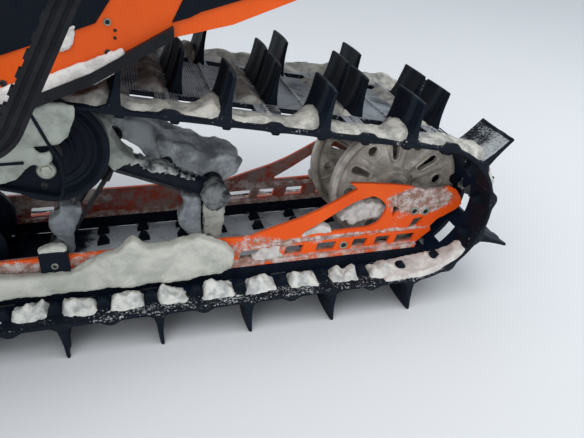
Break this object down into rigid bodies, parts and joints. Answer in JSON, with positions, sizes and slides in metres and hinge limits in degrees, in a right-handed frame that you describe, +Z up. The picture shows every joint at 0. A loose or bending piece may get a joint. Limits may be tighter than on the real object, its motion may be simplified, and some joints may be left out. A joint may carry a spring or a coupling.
{
  "type": "snowmobile rear track and tunnel section",
  "caption": "Rear track drive section of a snowmobile: lugged track round a slide rail suspension under a tunnel with running boards.",
  "frame": {"origin": "middle of the bounding box, on the floor under the paddle tips", "axes": "+X to the front of the machine, +Y to its left, +Z up"},
  "size_m": [2.1224, 0.712, 0.686],
  "materials": {
    "track_rubber": "matte moulded rubber",
    "rail_orange": "orange powder coat, worn",
    "slide_black": "dull black polymer",
    "wheel_alloy": "cast, frosted",
    "wheel_black": "moulded black",
    "steel": "bare steel shaft",
    "arm_black": "black powder coat",
    "shock_grey": "anodised body",
    "strap_web": "woven webbing",
    "sprocket_black": "moulded black",
    "tunnel_orange": "orange paint",
    "tunnel_black": "black paint",
    "board_black": "black coat, scuffed"
  },
  "bodies": {
    "root": {"carrier_shaft": "steel", "carrier_wheel_left": "wheel_black", "carrier_wheel_right": "wheel_black", "drive_axle": "steel", "drive_bearing_left": "tunnel_black", "drive_bearing_right": "tunnel_black", "drive_sprockets": "sprocket_black", "drop_bracket_left": "tunnel_black", "drop_bracket_right": "tunnel_black", "edge_rail_left": "board_black", "edge_rail_right": "board_black", "front_arm": "arm_black", "front_bracket_left": "tunnel_black", "front_bracket_right": "tunnel_black", "front_shock_body": "shock_grey", "front_shock_rod": "steel", "idler_shafts": "steel", "idler_wheels_front": "wheel_black", "idler_wheels_rear": "wheel_black", "kick_strut_left": "board_black", "kick_strut_right": "board_black", "limiter_straps": "strap_web", "link_shafts": "steel", "rail_blocks": "slide_black", "rail_cross_shafts": "steel", "rail_left": "rail_orange", "rail_right": "rail_orange", "rear_arm": "arm_black", "rear_axle": "steel", "rear_bumper": "arm_black", "rear_link_left": "arm_black", "rear_link_right": "arm_black", "rear_shock_body": "shock_grey", "rear_shock_rod": "steel", "rear_wheel_left": "wheel_alloy", "rear_wheel_right": "wheel_alloy", "running_board_left": "board_black", "running_board_right": "board_black", "slide_left": "slide_black", "slide_right": "slide_black", "track": "track_rubber", "tunnel_cross_shafts": "steel", "tunnel_side_left": "tunnel_orange", "tunnel_side_right": "tunnel_orange", "tunnel_top": "tunnel_black"}
  },
  "joints": []
}
